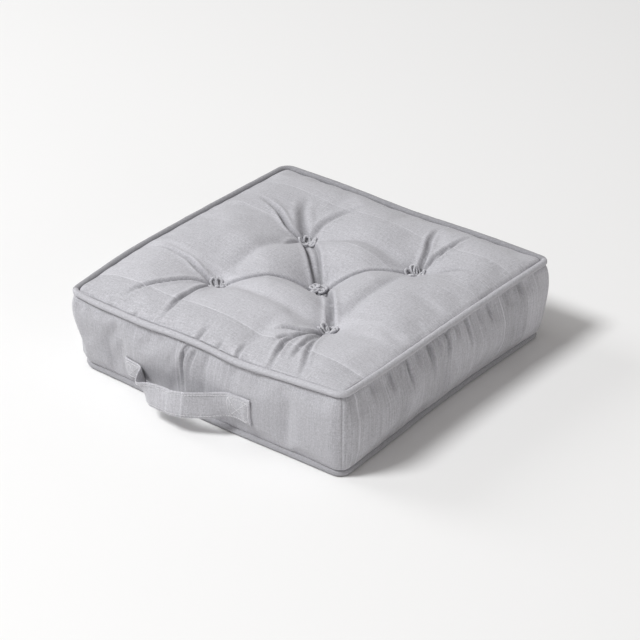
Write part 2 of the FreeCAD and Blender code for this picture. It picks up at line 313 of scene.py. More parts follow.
def grid_faces(columns, rows, start=0, closed=False, around=False):
    """Quads of a grid stored column by column.

    closed joins its last column to the first, and around its last row to the first."""
    i = np.arange(columns if closed else columns - 1)[:, None]
    j = np.arange(rows if around else rows - 1)[None, :]
    here, there = start + i * rows, start + (i + 1) % columns * rows
    up = (j + 1) % rows
    return np.stack([here + j, there + j, there + up, here + up], -1).reshape(-1, 4).tolist()


COTTON = {
    "quality": 6, "mass": 0.2, "tension_stiffness": 60, "compression_stiffness": 30,
    "shear_stiffness": 8, "bending_stiffness": 1.5, "air_damping": 2,
}
FRAMES = 20  # of each simulation


def stuffed(name, grid, faces, pinned, pressure, slack, cap):
    """How far each point of a cloth moves as it fills out from its start shape."""
    thing = mesh_object(name, grid, faces)
    group = thing.vertex_groups.new(name="pin")
    group.add(np.nonzero(pinned.ravel())[0].tolist(), 1.0, "ADD")
    cloth = thing.modifiers.new("cloth", "CLOTH")
    for key, value in COTTON.items():
        setattr(cloth.settings, key, value)
    cloth.settings.use_pressure = True
    cloth.settings.uniform_pressure_force = pressure
    cloth.settings.shrink_min = -slack
    cloth.settings.vertex_group_mass = "pin"
    cloth.settings.effector_weights.gravity = 0
    cloth.collision_settings.use_collision = False
    scene = bpy.context.scene
    scene.frame_start, scene.frame_end = 1, FRAMES
    for number in range(1, FRAMES + 1):
        scene.frame_set(number)
    graph = bpy.context.evaluated_depsgraph_get()
    shape = thing.evaluated_get(graph).to_mesh()
    after = np.zeros(len(shape.vertices) * 3)
    shape.vertices.foreach_get("co", after)
    scene.frame_set(1)
    bpy.data.objects.remove(thing)
    move = after.reshape(grid.shape) - grid
    size = np.linalg.norm(move, axis=-1, keepdims=True)
    return move * np.minimum(1, cap / np.maximum(size, 1e-9))


# The cloth is simulated on coarse grids, whose cells are divided FACTOR times afterwards.
TOP_COARSE, SIDE_COARSE, SIDE_ROWS = 73, 81, 21
FACTOR = 4
PIN_RADIUS = 6 * MM  # round each tuft, where the yarn holds the cloth


def finer(count):
    return (count - 1) * FACTOR + 1


def softened(moved, times):
    """Movements averaged with their neighbours', with the outer ones kept."""
    for _ in range(times):
        inner = moved.copy()
        inner[1:-1, 1:-1] = (
            moved[1:-1, 1:-1] * 2 + moved[:-2, 1:-1] + moved[2:, 1:-1] + moved[1:-1, :-2] + moved[1:-1, 2:]
        ) / 6
        moved = inner
    return moved


def stuff_top():
    """The stuffed top panel: a fine grid, moved as a coarser cloth moved."""
    start = start_top(TOP_COARSE)
    fine = start_top(finer(TOP_COARSE))
    pinned = tuft_distance(start) < PIN_RADIUS
    pinned[[0, -1], :] = True
    pinned[:, [0, -1]] = True
    faces = grid_faces(TOP_COARSE, TOP_COARSE)
    moved = stuffed("top", start, faces, pinned, pressure=3.5, slack=0.012, cap=14 * MM)
    return fine + refine(softened(moved, 2), FACTOR)


def stuff_sides():
    """The four stuffed side panels, which stretch as one band."""
    starts = [start_side(side, SIDE_COARSE, SIDE_ROWS) for side in range(4)]
    fine = [start_side(side, finer(SIDE_COARSE), finer(SIDE_ROWS)) for side in range(4)]
    ring = np.concatenate([grid[:-1] for grid in starts])
    pinned = np.zeros(ring.shape[:2], bool)
    pinned[:, [0, -1]] = True
    faces = grid_faces(len(ring), SIDE_ROWS, closed=True)
    moved = stuffed("sides", ring, faces, pinned, pressure=3.2, slack=0.015, cap=8 * MM)
    moved = softened(moved, 1)
    moved = np.concatenate([moved, moved[:1]])
    step = SIDE_COARSE - 1
    parts = [moved[side * step:(side + 1) * step + 1] for side in range(4)]
    return [grid + refine(part, FACTOR) for grid, part in zip(fine, parts)]


# ---- creases pressed into the cloth ----
DARK_DEPTH = 6 * MM  # a fold as deep as this gets the full painted shade at its core
FOLD_GAIN = 1.25  # makes up for the depth that smoothing takes away


def fold_profile(flat, points, depth, width, lip, start, end):
    """How far a fold line sinks the cloth near it, how far its lips raise it, and the painted shade at its
    core.

    depth fades in and out over the shares start and end of the line."""
    line = curve_through(points, 240)
    length = np.linspace(0, 1, len(line))
    fade = smooth(length / start) * smooth((1 - length) / end)
    near = np.all((flat > line.min(0) - 5 * width) & (flat < line.max(0) + 5 * width), axis=-1)
    places = flat[near]
    gaps = np.linalg.norm(places[:, None] - line[None], axis=-1)
    closest = gaps.argmin(1)
    d = gaps[np.arange(len(places)), closest] / width
    size = fade[closest] * depth
    # painted shade along the bottom of the fold, darkest where it is deep
    core = np.exp(-((d / 0.85) ** 2)) * fade[closest] * min(1, depth / DARK_DEPTH)
    return near, -np.exp(-(d**1.6)) * size, lip * np.exp(-((d - 2.2) ** 2)) * size, core


def pressed(grid, flat, folds, lip, start, end):
    """A grid with folds pressed in along its normals, and the painted shade in its creases."""
    valley, ridge, shade_at_creases = np.zeros((3, *grid.shape[:-1]))
    for points, depth, width in folds:
        points = np.array(points) * MM
        near, low, high, core = fold_profile(flat, points, depth * MM, width * MM, lip, start, end)
        valley[near] = np.minimum(valley[near], low)
        ridge[near] = np.maximum(ridge[near], high)
        shade_at_creases[near] = np.maximum(shade_at_creases[near], core)
    depth = softened(valley + ridge, 4) * FOLD_GAIN
    return grid + grid_normals(grid) * depth[..., None], softened(shade_at_creases, 2)


def from_tuft(name, *folds):
    """Folds that start at a tuft and go through some points, in mm."""
    start = SPOTS[name] / MM
    return [
        ([start + (np.array(points[0]) - start) * 0.05, *points], depth, width)
        for points, depth, width in folds
    ]


def between_tufts(a, b, aside, depth, width):
    """A fold from one tuft to another whose middle lies aside of the straight line, in mm."""
    low, high = SPOTS[a] / MM, SPOTS[b] / MM
    run = unit(high - low)
    across = np.array([-run[1], run[0]]) * aside
    points = [low + run * 3 + across * 0.8, (low + high) / 2 + across, high - run * 3 + across * 0.3]
    return points, depth, width


# Folds between the tufts, some of them pinched double: how far aside, depth and width.
NET_FOLDS = [
    between_tufts("left", "centre", -1.5, 5.5, 2.7),
    between_tufts("back", "centre", -4.8, 6, 2.5),
    between_tufts("back", "centre", 4.8, 6, 2.5),
    between_tufts("centre", "front", 6.5, 7.5, 2.9),
    ([(14.3, -10.3), (23.6, -20.8), (34, -30)], 5.5, 2.4),
    between_tufts("centre", "right", -1.5, 5.5, 2.7),
]
# Folds from a tuft out to the rim, in mm seen from above: points, depth and width.
TUFT_FOLDS = [
    *from_tuft(
        "left",
        ([(-104, -82), (-126, -78), (-151, -78), (-182, -81)], 6, 2.2),
        ([(-96, -108), (-112, -143), (-126, -165), (-140, -190)], 6.5, 2.2),
        ([(-72, -118), (-71, -150), (-71, -173), (-65, -200)], 6.5, 2.4),
    ),
    *from_tuft(
        "back",
        ([(-86, 65), (-117, 80), (-159, 90)], 7.5, 2.3),
        ([(-80, 84), (-96, 104), (-106, 131)], 4, 4.5),
        ([(-65, 50), (-63, 26)], 4.5, 2.4),
        ([(-60, 92), (-54, 112), (-42, 138), (-29, 169)], 3, 3.2),
    ),
    *from_tuft(
        "right",
        ([(81, 115), (70, 139), (64, 170)], 5.5, 2.3),
        ([(97, 118), (104, 146), (108, 184)], 5, 2.3),
        ([(118, 84), (140, 96), (165, 104)], 3, 3),
    ),
    *from_tuft(
        "front",
        ([(79, -116), (63, -131), (51, -147)], 5.5, 2.2),
        ([(83, -132), (75, -148), (71, -167)], 6.5, 2.2),
        ([(88, -122), (85, -148), (90, -180), (97, -207)], 8, 2.3),
        ([(98, -122), (103, -142), (108, -166), (110, -184)], 6, 2.1),
        ([(101, -116), (111, -141), (128, -177), (140, -203)], 5.5, 2.1),
    ),
]
# Broad hollows between neighbouring tufts, and short puckers behind the front piping.
SOFT_HOLLOWS = [
    ([(90, -72), (92, -31), (94, 5), (91, 74)], 6, 9),
    ([(-78, -66), (-74, 0), (-64, 56)], 5, 10),
    ([(-46, 70), (14, 84), (74, 86)], 5, 11),
    ([(-62, -82), (4, -94), (74, -84)], 4.5, 11),
]
FRONT_PUCKERS = [
    ([(-141, -182), (-141, -203)], 1.8, 2.2), ([(-104, -180), (-102, -203)], 2, 2.2),
    ([(-8, -176), (-9, -203)], 3, 2.3), ([(22, -184), (20, -203)], 2, 2.2),
    ([(45, -172), (49, -203)], 3, 2.3),
]
# Folds of the side panels: points are (distance along the side, height).
GATHER_TOP = 102


def gathers(*folds):
    """Short folds from the top seam: place there, place and height below, depth, width."""
    return [([(top, GATHER_TOP), (low, height)], depth, width) for top, low, height, depth, width in folds]


FRONT_FOLDS = [
    ([(-20, 100), (-25, 80), (-24, 50), (-22, 24)], 7, 1.7),
    ([(-8, 98), (-13, 76), (-12, 44)], 3, 1.8), ([(10, 98), (8, 80), (9, 66)], 1.4, 3),
    ([(75.5, 56), (76, 38), (75, 18)], 3, 1.3),
    ([(-60, 98), (-58, 82)], 1.2, 4.5), ([(48, 94), (47, 80)], 1.2, 4.5),
]
RIGHT_FOLDS = gathers(
    (-150, -149, 76, 2.4, 2.1), (-118, -115, 66, 4.4, 2.4), (-98, -97, 82, 3, 1.9),
    (-82, -79, 50, 6, 2.4), (-62, -61, 76, 4.2, 2), (-40, -37, 48, 6.5, 2.5),
    (-22, -22, 74, 4, 2), (-5, -3, 54, 6, 2.4), (14, 15, 78, 3.6, 2),
    (35, 38, 58, 5.5, 2.4), (58, 58, 80, 3.4, 1.9), (80, 80, 70, 4, 2.2),
    (112, 112, 76, 3, 2.1), (140, 141, 74, 3.4, 2.1),
)
PLAIN_FOLDS = gathers(
    (-110, -108, 76, 3, 3), (-40, -42, 80, 2.4, 2.6), (30, 33, 72, 3.2, 3),
    (95, 94, 82, 2.4, 2.8),
)
SIDE_FOLDS = [FRONT_FOLDS, RIGHT_FOLDS, PLAIN_FOLDS, PLAIN_FOLDS]


# ---- materials ----
class Nodes:
    """A material's node tree."""

    def __init__(self, name):
        self.material = bpy.data.materials.new(name)
        self.material.use_nodes = True
        self.tree = self.material.node_tree
        self.tree.nodes.clear()
        output = self.add("OutputMaterial")
        self.shader = self.add("BsdfPrincipled")
        self.link(self.shader.outputs[0], output.inputs["Surface"])

    def add(self, kind, **settings):
        node = self.tree.nodes.new("ShaderNode" + kind)
        for key, value in settings.items():
            setattr(node, key, value)
        return node

    def link(self, source, target):
        self.tree.links.new(source, target)

    def finish(self, **values):
        """Sets the shader's plain values; a name's underscores stand for spaces."""
        for name, value in values.items():
            self.shader.inputs[name.replace("_", " ")].default_value = value
        return self.material

    def paint(self, colour, value):
        """The base colour, made lighter or darker by a value."""
        tint = self.add("VectorMath", operation="SCALE")
        tint.inputs[0].default_value = colour
        self.link(value, tint.inputs["Scale"])
        self.link(tint.outputs[0], self.shader.inputs["Base Color"])

    def emboss(self, height, strength, distance):
        bump = self.add("Bump")
        bump.inputs["Strength"].default_value = strength
        bump.inputs["Distance"].default_value = distance
        self.link(height, bump.inputs["Height"])
        self.link(bump.outputs[0], self.shader.inputs["Normal"])

    def add_up(self, base, *terms):
        """A base plus (value, factor) terms."""
        for value, factor in terms:
            base = self.math("MULTIPLY_ADD", value, factor, base)
        return base

    def math(self, operation, a, b=0.0, c=0.0):
        node = self.add("Math", operation=operation)
        for value, socket in zip((a, b, c), node.inputs):
            if isinstance(value, bpy.types.NodeSocket):
                self.link(value, socket)
            else:
                socket.default_value = value
        return node.outputs[0]

    def noise(self, vector, stretch, detail=2.0, roughness=0.5):
        """Noise between about -1 and 1; stretch gives its frequency per metre on each axis."""
        mapping = self.add("Mapping")
        mapping.inputs["Scale"].default_value = stretch
        self.link(vector, mapping.inputs["Vector"])
        noise = self.add("TexNoise")
        for name, value in (("Scale", 1.0), ("Detail", detail), ("Roughness", roughness)):
            noise.inputs[name].default_value = value
        self.link(mapping.outputs[0], noise.inputs["Vector"])
        return self.math("MULTIPLY_ADD", noise.outputs["Fac"], 2.0, -1.0)


WEAVE = 0.9 * MM  # width of two threads side by side


def cloth_material(name, colour, lines=(), bands=(), slub=0.2, streaks=0.07):
    """A heathered plain weave with woven lines and bands in it; some bands are painted light and painted
    shade instead.

    lines are (place, half width, strength) and bands (low, high, strength), in mm across the warp.
    slub is how uneven the threads are, and streaks how much the thick ones show."""
    n = Nodes(name)
    # where the mesh lies in its flat cloth: across the warp and along it
    vector = n.add("Attribute", attribute_name="cloth").outputs["Vector"]
    parts = n.add("SeparateXYZ")
    n.link(vector, parts.inputs[0])
    across, along = parts.outputs[:2]
    streak = n.noise(vector, (1100, 60, 1), 3)
    cross_streak = n.noise(vector, (60, 1100, 1), 3)
    fleck = n.noise(vector, (900, 640, 1), roughness=0.7)
    grain = n.noise(vector, (480, 300, 1), roughness=0.6)
    mottle = n.noise(vector, (38, 30, 1), 3)
    thick_thread = n.noise(vector, (430, 14, 1), 3)
    value = n.add_up(
        1.0, (streak, slub), (cross_streak, slub * 0.7), (fleck, slub * 1.8),
        (grain, 0.24), (mottle, 0.04), (thick_thread, streaks),
    )
    wander = n.noise(vector, (6, 22, 1))
    place = n.add_up(across, (wander, 0.5 * MM))
    raised = None
    for middle, half_width, strength in lines:
        hit = n.math("COMPARE", place, middle * MM, half_width * MM)
        value = n.add_up(value, (hit, strength))
        raised = hit if raised is None else n.math("ADD", raised, hit)
    for low, high, strength in bands:
        hit = n.math("COMPARE", place, (low + high) / 2 * MM, (high - low) / 2 * MM)
        value = n.add_up(value, (hit, strength))
    warp = n.math("SINE", n.math("MULTIPLY", across, 2 * math.pi / WEAVE))
    weft = n.math("SINE", n.math("MULTIPLY", along, 2 * math.pi / WEAVE))
    checks = n.math("MULTIPLY", warp, weft)
    value = n.add_up(value, (checks, 0.05))
    # the tone attribute holds painted shade: darker in creases, round the bows and on the piping's far
    # sides
    tone = n.add("Attribute", attribute_name="tone")
    n.paint(colour, n.math("MULTIPLY", value, tone.outputs["Fac"]))
    height = n.add_up(checks, (streak, 0.5), (cross_streak, 0.35), (fleck, 0.5))
    if raised is not None:
        height = n.add_up(height, (raised, 0.8))
    n.emboss(height, 0.55, 0.12 * MM)
    n.link(n.add_up(0.88, (fleck, 0.05)), n.shader.inputs["Roughness"])
    return n.finish(Specular_IOR_Level=0.18, Sheen_Weight=0.22, Sheen_Roughness=0.5)


def fibre_material(name, colour, scale, depth, spread=0.12):
    """Twisted fibre: fine light and dark hairs."""
    n = Nodes(name)
    place = n.add("TexCoord").outputs["Object"]
    hair = n.noise(place, (scale, scale, scale), detail=4, roughness=0.65)
    tone = n.noise(place, (scale / 9, scale / 9, scale / 9))
    n.paint(colour, n.add_up(1.0, (hair, spread), (tone, spread / 2)))
    n.emboss(hair, 0.6, depth)
    return n.finish(Roughness=0.9, Specular_IOR_Level=0.15, Sheen_Weight=0.3)


GREY = (0.515, 0.511, 0.541)
# Painted shade: the front panel's cloth is a darker copy of the grey.
FRONT_SHADED_GREY = (0.455, 0.451, 0.478)
top_cloth = cloth_material(
    "top_cloth", GREY,
    lines=[(-157, 0.9, 0.16), (15, 0.5, 0.06), (65, 0.8, 0.13), (133, 0.8, 0.13)],
    # The band from -157 to -60 mm is painted light that brightens the front of the top; the other lines and
    # bands are woven.
    bands=[(-205, -157, -0.05), (-157, -60, 0.07), (65, 133, -0.05)],
)
side_cloths = [
    cloth_material(
        "front_cloth", FRONT_SHADED_GREY, streaks=0.12,
        lines=[(-101, 0.8, 0.14), (-35, 0.9, 0.16), (-29, 0.5, 0.08), (12, 0.5, 0.1),
               (18, 0.5, 0.06), (24, 0.5, 0.1), (32, 0.5, 0.06), (40, 0.5, 0.1)],
        bands=[(-35, 12, -0.04), (12, 40, 0.03)],
    ),
    cloth_material(
        "right_cloth", GREY, streaks=0.26,
        lines=[(-182, 1.1, 0.2), (-128, 0.7, 0.12), (-118, 0.7, 0.1), (-109, 0.5, 0.08), (-92, 0.5, 0.08),
               (-30, 0.5, 0.08), (40, 0.7, 0.16), (50, 0.5, 0.1), (56, 0.7, 0.14), (101, 1.0, 0.26),
               (158, 0.6, 0.12), (164, 0.5, 0.1), (171, 0.6, 0.12), (178, 0.5, 0.1)],
        # The band from -182 to -118 mm is painted shade near the front corner; the other lines and bands
        # are woven.
        bands=[(-205, -182, -0.09), (-182, -118, -0.04), (-118, -88, -0.08), (-60, 0, -0.06), (0, 40, 0.04),
               (101, 150, -0.08), (150, 205, 0.08)],
    ),
    cloth_material(
        "back_cloth", GREY, streaks=0.2, lines=[(-120, 0.8, 0.14), (-54, 0.6, 0.1), (60, 0.9, 0.16)],
        bands=[(-54, 60, -0.05)],
    ),
    cloth_material(
        "left_cloth", GREY, streaks=0.2, lines=[(-70, 0.8, 0.14), (10, 0.6, 0.1), (120, 0.9, 0.16)],
        bands=[(10, 120, -0.05)],
    ),
]
base_cloth = cloth_material("base_cloth", GREY, lines=[(-90, 0.8, 0.1), (60, 0.8, 0.1)])
piping_cloth = cloth_material("piping_cloth", GREY, slub=0.1)
handle_cloth = cloth_material(
    "handle_cloth", GREY,
    lines=[(-18, 0.7, 0.06), (-13, 0.7, 0.08), (-4, 1.0, 0.18)],
    bands=[(-4, 70, -0.06)],
)
yarn_material = fibre_material("yarn", (0.56, 0.557, 0.585), scale=2600, depth=0.2 * MM)
thread_material = fibre_material("thread", (0.70, 0.695, 0.72), scale=4000, depth=0.05 * MM, spread=0.06)
cord_material = fibre_material("cord", (0.74, 0.72, 0.66), scale=1500, depth=0.2 * MM)
fill_material = fibre_material("fill", (0.85, 0.84, 0.81), scale=500, depth=0.8 * MM, spread=0.08)


# ---- cover panels ----
def store(thing, places, painted_shades):
    """Keeps where each vertex lies in its flat cloth, for the weave, and how much painted shade darkens it
    there.
    """
    attribute = thing.data.attributes.new("cloth", "FLOAT_VECTOR", "POINT")
    attribute.data.foreach_set("vector", np.asarray(places, np.float32).ravel())
    attribute = thing.data.attributes.new("tone", "FLOAT", "POINT")
    attribute.data.foreach_set("value", np.asarray(painted_shades, np.float32).ravel())


def sewn_in(piece, slot, *nodes):
    """Makes a piece move with the cushion, in place of some CAD nodes."""
    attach(piece, "cushion")
    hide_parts(*nodes)


def ring_of(index):
    """The outer ring of a grid of vertex numbers, anticlockwise, back to its start."""
    ring = [index[:, 0], index[-1, 1:], index[-2::-1, -1], index[0, -2::-1]]
    return np.concatenate(ring).tolist()


CREASE_SHADE = 0.55  # how much painted shade darkens the cloth at the bottom of a deep crease
BOW_SHADE, BOW_SHADE_RADIUS = 0.8, 9 * MM  # painted shade round each bow, as dark as a crease
PANEL_THICKNESS = 0.8 * MM


def panel_object(name, grid, cloth, material, painted_crease_shade, step=3):
    """A closed sheet of cloth: the grid, a coarser one inside it, and the edge between them."""
    columns, rows = grid.shape[:2]
    inner = (grid - grid_normals(grid) * PANEL_THICKNESS)[::step, ::step]
    count = columns * rows
    outer_index = np.arange(count).reshape(columns, rows)
    inner_index = count + np.arange(inner.size // 3).reshape(inner.shape[:2])
    faces = grid_faces(columns, rows)
    faces += [face[::-1] for face in grid_faces(*inner_index.shape, start=count)]
    outer_ring, inner_ring = ring_of(outer_index), ring_of(inner_index)
    for k in range(len(inner_ring) - 1):
        rim = outer_ring[k * step:(k + 1) * step + 1]
        faces.append(rim[::-1] + [inner_ring[k], inner_ring[k + 1]])
    thing = mesh_object(name, np.concatenate([grid.reshape(-1, 3), inner.reshape(-1, 3)]), faces, material)
    places = np.zeros((columns, rows, 3))
    places[..., :2] = cloth
    places = np.concatenate([places.reshape(-1, 3), places[::step, ::step].reshape(-1, 3)])
    # painted shade: the cloth is darker in its creases
    painted_shades = 1 - CREASE_SHADE * painted_crease_shade
    store(thing, places, np.concatenate([painted_shades.ravel(), painted_shades[::step, ::step].ravel()]))
    return thing


top_plain = stuff_top()
flat_top = square_grid(len(top_plain), SEAM_IN, 0, 0.0)[..., :2]
top_hollowed, _ = pressed(top_plain, flat_top, SOFT_HOLLOWS, 0.0, 0.25, 0.25)
top_grid, net_crease_shade = pressed(top_hollowed, flat_top, NET_FOLDS, 0.35, 0.1, 0.1)
top_grid, tuft_crease_shade = pressed(top_grid, flat_top, TUFT_FOLDS, 0.35, 0.04, 0.5)
top_grid, rim_crease_shade = pressed(top_grid, flat_top, FRONT_PUCKERS, 0.4, 0.7, 0.02)
# painted shade round each bow, joined with the painted shade in the creases
bow_shade = BOW_SHADE * np.exp(-((tuft_distance(top_grid) / BOW_SHADE_RADIUS) ** 4))
top_painted_shade = np.max([net_crease_shade, tuft_crease_shade, rim_crease_shade, bow_shade], axis=0)
top_panel = panel_object("cover_top", top_grid, flat_top[..., ::-1], top_cloth, top_painted_shade)
sewn_in(top_panel, "cover_fabric", "top_panel")

side_plains = stuff_sides()
side_grids = []
for side, name in enumerate(SIDES):
    columns, rows = side_plains[side].shape[:2]
    across, up = np.linspace(-HALF, HALF, columns), np.linspace(BASE_Z, TOP_Z, rows)
    cloth = np.stack(np.meshgrid(across, up, indexing="ij"), -1)
    grid, painted_crease_shade = pressed(side_plains[side], cloth, SIDE_FOLDS[side], 0.35, 0.03, 0.8)
    side_grids.append(grid)
    # the side panels get half of their painted crease shade
    panel = panel_object("cover_side_" + name, grid, cloth, side_cloths[side], painted_crease_shade / 2, step=4)
    sewn_in(panel, "cover_fabric", "side_panel_" + name)


BASE_EDGE, BASE_RISE = 8 * MM, 1.2 * MM  # width of the base panel's rising edge, and its rise
RECESS_DEPTH, RECESS_RADIUS = 8 * MM, 11 * MM  # of the dimple under each tuft


def base_panel_grid(n):
    """Flat on the floor, rising at its edge, with a dimple under each tuft."""
    grid = square_grid(n, SEAM_IN, 0, 0.0)
    t = np.abs(np.linspace(-1, 1, n))
    nearest = np.minimum(1 - t[:, None], 1 - t[None, :]) * HALF
    grid[..., 2] = FLOOR_Z + 0.2 * MM + BASE_RISE * smooth(1 - nearest / BASE_EDGE)
    grid[..., 2] += RECESS_DEPTH * np.exp(-((tuft_distance(grid) / RECESS_RADIUS) ** 2.5))
    return grid


base_grid = base_panel_grid(163)[:, ::-1]
base = panel_object("cover_base", base_grid, base_grid[..., 1::-1], base_cloth, np.zeros((163, 163)))
sewn_in(base, "cover_fabric", "base_panel")


# ---- filling ----
STUFFING_DROP = 11 * MM  # below the top panel, and above the floor
STUFFING_INSET = 10 * MM  # inside the side panels


def filling_object(rows=15):
    """The stuffing: a closed body inside the cover, clear of its deepest folds."""
    top = top_hollowed[::FACTOR, ::FACTOR].copy()
    top[..., 2] -= STUFFING_DROP
    n = len(top)
    bottom = square_grid(n, SEAM_IN + 4 * MM, 0, 0.0)
    bottom[..., 2] = FLOOR_Z + STUFFING_DROP
    walls = []
    for plain in side_plains:
        grid = plain - grid_normals(plain) * STUFFING_INSET
        columns = np.linspace(0, len(grid) - 1, n).round().astype(int)
        heights = np.linspace(10, grid.shape[1] - 11, rows).round().astype(int)
        walls.append(grid[columns][:-1, heights])
    ring = np.concatenate(walls)
    points = [top.reshape(-1, 3), bottom[:, ::-1].reshape(-1, 3), ring.reshape(-1, 3)]
    start = 2 * n * n
    faces = grid_faces(n, n) + grid_faces(n, n, start=n * n)
    faces += grid_faces(len(ring), rows, start, closed=True)
    top_index, low_index = np.arange(start).reshape(2, n, n)
    for index, row, flip in ((top_index, rows - 1, False), (low_index[:, ::-1], 0, True)):
        loop = ring_of(index)
        for k in range(len(ring)):
            a = start + k * rows + row
            b = start + (k + 1) % len(ring) * rows + row
            face = [a, b, loop[k + 1], loop[k]]
            faces.append(face[::-1] if flip else face)
    return mesh_object("stuffing", np.concatenate(points), faces, fill_material)


fill = filling_object()
sewn_in(fill, "filling", "filling")


# ---- piping ----
def frames_along(path, closed=False):
    """Two directions square to a path, turning as little as possible along it."""
    if closed:
        tangent = np.roll(path, -1, 0) - np.roll(path, 1, 0)
    else:
        tangent = np.gradient(path, axis=0)
    tangent = unit(tangent)
    side = np.zeros_like(path)
    first = np.cross(tangent[0], [0, 0, 1])
    if np.linalg.norm(first) < 1e-3:
        first = np.cross(tangent[0], [1, 0, 0])
    side[0] = unit(first)
    for k in range(1, len(path)):
        side[k] = unit(side[k - 1] - tangent[k] * (side[k - 1] @ tangent[k]))
    return side, np.cross(tangent, side)


def tube(path, radius, around, closed=False):
    """Points and faces of a tube whose radius may change along and round it."""
    side, up = frames_along(path, closed)
    angle = np.linspace(0, 2 * math.pi, around, endpoint=False)
    radius = np.broadcast_to(radius, (len(path), around))[..., None]
    ring = side[:, None] * np.cos(angle)[None, :, None] + up[:, None] * np.sin(angle)[None, :, None]
    points = path[:, None] + ring * radius
    quads = grid_faces(len(path), around, closed=closed, around=True)
    faces = [[a, d, c, b] for a, b, c, d in quads]
    if not closed:
        faces.append(list(range(around))[::-1])
        faces.append([(len(path) - 1) * around + k for k in range(around)])
    return points.reshape(-1, 3), faces


CLEARANCE = 0.4 * MM  # keeps the uneven base piping off the floor


def piping_path(level, per_side=260):
    """The closed line of a piping's centre; the top one sags, and the base one lies flat."""
    t = np.linspace(-1, 1, per_side, endpoint=False)
    up, share = (0.0, 1.0) if level == "top" else (BASE_Z - TOP_Z + CLEARANCE, 0.0)
    return np.concatenate([rim_point(side, t, 0.0, up, share) for side in range(4)])


# How bright each side's piping is, with painted shade: in the photo it is darker at the back, the left and
# the base.
PIPING_PAINTED_SHADES = {"top": [0.98, 1.0, 0.62, 0.64], "base": [0.72, 0.72, 0.72, 0.72]}
CORE_INSET = 1.3 * MM  # from the piping's outside to its cord


def piping_object(name, path, painted_shades, seed):
    around = 20
    run = run_along(path)
    rough = soft_noise(path, 30 * MM, seed) * 0.12 * MM
    pinch = soft_noise(path, 9 * MM, seed + 1) * 0.05 * MM
    radius = (PIPING + rough + pinch)[:, None]
    thing = mesh_object(name, *tube(path, radius, around, closed=True), piping_cloth)
    turn = np.linspace(0, 2 * math.pi, around, endpoint=False) * PIPING
    bias = math.sqrt(0.5)
    across = (run[:, None] + turn[None]) * bias
    along = (run[:, None] - turn[None]) * bias
    places = np.stack([across, along, np.zeros_like(across)], -1)
    # each side's piping gets its painted shade
    store(thing, places, np.repeat(painted_shades, len(path) // 4 * around))
    return thing


for level, seed in (("top", 11), ("base", 21)):
    path = piping_path(level)
    cover = piping_object(level + "_piping", path, PIPING_PAINTED_SHADES[level], seed)
    sewn_in(cover, "piping_fabric", level + "_piping_cover")
    cord = tube(path, PIPING - CORE_INSET, 10, closed=True)
    core = mesh_object(level + "_piping_core", *cord, cord_material)
    sewn_in(core, "piping_cord", level + "_piping_cord")


# ---- tufts ----
YARN = 1.55 * MM  # radius of the bows' yarn
KNOT_YARN = 1.1 * MM


def joined(parts):
    """Several (points, faces) as one."""
    faces, start = [], 0
    for points, part_faces in parts:
        faces += [[start + a for a in face] for face in part_faces]
        start += len(points)
    return np.concatenate([points for points, _ in parts]), faces


def yarn(path, radius, pitch=4.5 * MM, strands=3):
    """Strands twisted round each other along a path."""
    side, up = frames_along(path)
    run = run_along(path)
    parts = []
    for k in range(strands):
        angle = run / pitch * 2 * math.pi + 2 * math.pi * k / strands
        offset = side * np.cos(angle)[:, None] + up * np.sin(angle)[:, None]
        parts.append(tube(path + offset * radius * 0.5, radius * 0.58, 7))
    return joined(parts)


def level_directions(heading):
    """A heading's level direction, and the one to its left."""
    out = np.array([math.cos(heading), math.sin(heading), 0])
    return out, np.array([-out[1], out[0], 0])


def coil(centre, count, turns, reach, low, high):
    """Points of a small ball, wound round a vertical line from low to high."""
    points = []
    for k in range(count):
        share = k / (count - 1)
        out, _ = level_directions(share * turns * 2 * math.pi)
        away = out * reach * math.sin(math.pi * (k + 1) / (count + 1))
        points.append(centre + away + np.array([0, 0, low + (high - low) * share]))
    return points


def height_over(place, reach):
    """A function giving the top panel's height at points near a tuft."""
    near = np.hypot(top_grid[..., 0] - place.x, top_grid[..., 1] - place.y) < reach
    spots = top_grid[near]
    return lambda point: spots[np.linalg.norm(spots[:, :2] - point[:2], axis=1).argmin(), 2]


def yarn_loop(centre, heading, length, spread, lift, height):
    """A small loop of yarn that leaves the knot, lies on the cloth and comes back."""
    out, side = level_directions(heading)
    # shares of the length, of the spread and of the lift
    plan = [
        (0.05, 0.15, 0.2), (0.45, 0.85, 0.8), (0.85, 0.75, 1), (1, 0, 0.8),
        (0.85, -0.75, 0.5), (0.45, -0.8, 0.4), (0.05, -0.15, 0.1),
    ]
    points = [centre + out * a * length + side * b * spread for a, b, _ in plan]
    for point, (_, _, c) in zip(points, plan):
        point[2] = max(centre[2], height(point) + YARN) + c * lift
    return curve_through(points, 48)


def bow_object(name, place, seed, loops=6):
    """The bow on top of a tuft: loops of yarn round a small knot."""
    rng = np.random.default_rng(seed)
    centre = np.array([place.x, place.y, TUFT_Z + 2.5 * MM])
    height = height_over(place, 26 * MM)
    parts = []
    turn = rng.uniform(0, 2 * math.pi)
    for k in range(loops):
        heading = turn + 2 * math.pi * k / loops + rng.uniform(-0.3, 0.3)
        length = rng.uniform(9.5, 12) * MM
        spread = rng.uniform(3.5, 4.6) * MM
        lift = rng.uniform(0.5, 3.0) * MM
        parts.append(yarn(yarn_loop(centre, heading, length, spread, lift, height), YARN))
    knot = coil(centre, 26, 2.2, 2.8 * MM, -1.0 * MM, 5.5 * MM)
    parts.append(yarn(curve_through(knot, 110), YARN))
    return mesh_object(name, *joined(parts), yarn_material)


